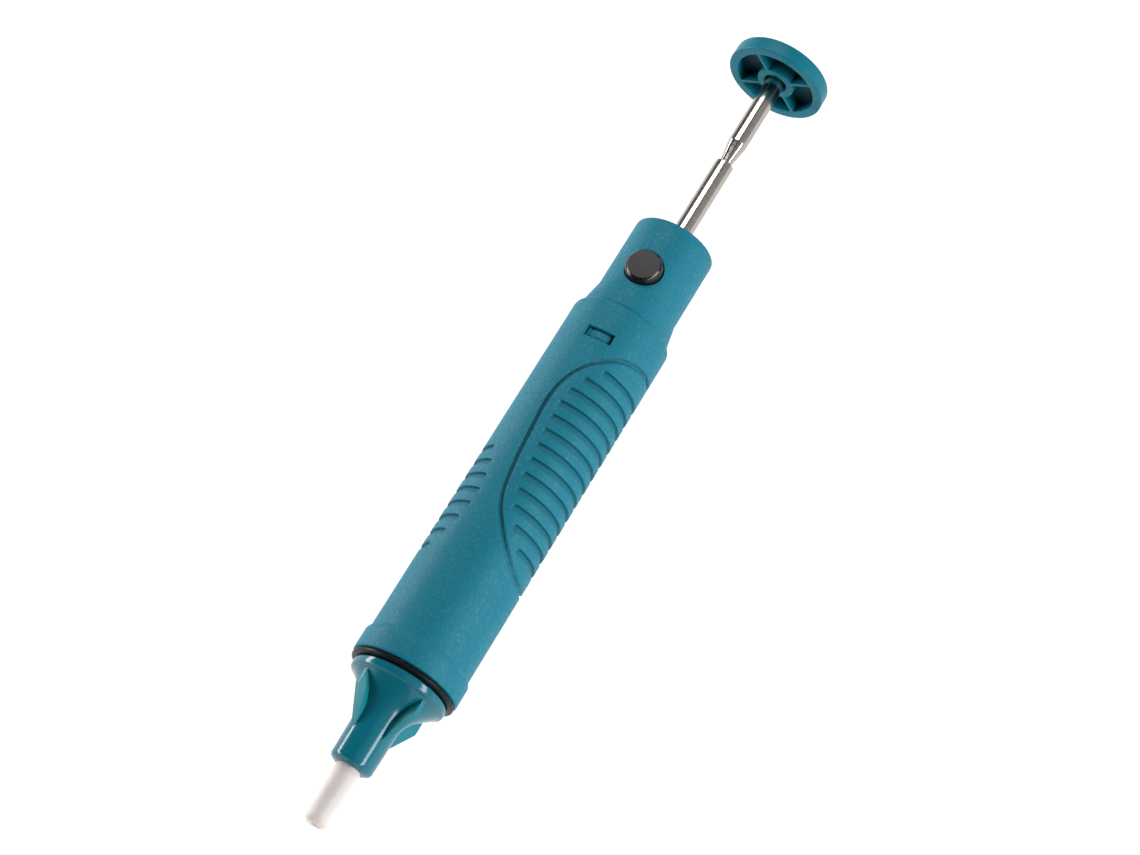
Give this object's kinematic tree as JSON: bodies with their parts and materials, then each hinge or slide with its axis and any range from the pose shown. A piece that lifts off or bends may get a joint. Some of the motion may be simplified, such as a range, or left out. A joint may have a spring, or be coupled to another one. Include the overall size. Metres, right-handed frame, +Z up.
{
  "type": "desoldering pump",
  "caption": "Hand desoldering pump: sprung plunger in a grooved teal barrel, latch button, finned screw-on nose and white nozzle.",
  "frame": {"origin": "centre of the bounding box at floor level; the pump lies on its side with its axis level", "axes": "+X along the barrel towards the plunger knob, +Z up through the release button, nozzle towards -X"},
  "size_m": [0.2116, 0.0252, 0.0252],
  "materials": {
    "teal_satin": "fine-grained moulded teal plastic",
    "teal_gloss": "polished moulded teal plastic",
    "black_rubber": "black nitrile rubber",
    "black_plastic": "black plastic, flat satin top and glossy edge",
    "white_ptfe": "white waxy heat-resistant plastic",
    "grey_plastic": "grey moulded plastic",
    "steel": "turned and polished steel",
    "spring_steel": "drawn spring wire",
    "brass": "turned brass"
  },
  "bodies": {
    "barrel": {"barrel": "teal_satin", "end_cap": "teal_satin", "rod_bush": "white_ptfe", "rod_wiper": "black_rubber", "bumper_ring": "black_rubber", "main_spring": "spring_steel", "button_spring": "spring_steel"},
    "piston": {"piston": "grey_plastic", "piston_ring_front": "black_rubber", "piston_ring_rear": "black_rubber", "piston_washer": "steel"},
    "rod": {"plunger_rod": "steel", "knob": "teal_gloss", "piston_nut": "brass", "cleaning_pin": "steel"},
    "button": {"button": "black_plastic", "latch_plate": "steel"},
    "nose_seal": {"nose_o_ring": "black_rubber"},
    "nose": {"nose": "teal_gloss", "nozzle_tip": "white_ptfe", "nozzle_o_ring": "black_rubber", "spring_seat_washer": "steel"}
  },
  "joints": [
    {"name": "plunger_slide", "type": "slide", "parent": "barrel", "child": "piston", "axis": [-1, 0, 0], "range_m": [0, 0.0385], "stiffness_N_per_m": 500, "springref_m": -0.01, "deforming": ["main_spring"]},
    {"name": "knob_spin", "type": "hinge", "parent": "piston", "child": "rod", "pos_m": [0, 0, 0.01258], "axis": [1, 0, 0], "continuous": true},
    {"name": "button_press", "type": "slide", "parent": "barrel", "child": "button", "axis": [0, 0, -1], "range_m": [0, 0.0015], "stiffness_N_per_m": 400, "springref_m": -0.002, "deforming": ["button_spring"]},
    {"name": "nose_slide", "type": "slide", "parent": "barrel", "child": "nose_seal", "axis": [-1, 0, 0], "range_m": [0, 0.0076]},
    {"name": "nose_turn", "type": "hinge", "parent": "nose_seal", "child": "nose", "pos_m": [0, 0, 0.01258], "axis": [-1, 0, 0], "range_deg": [0, 684]}
  ],
  "couplings": [
    {"joint": "nose_slide", "follows": "nose_turn", "m_per_rad": 0.00063662}
  ]
}
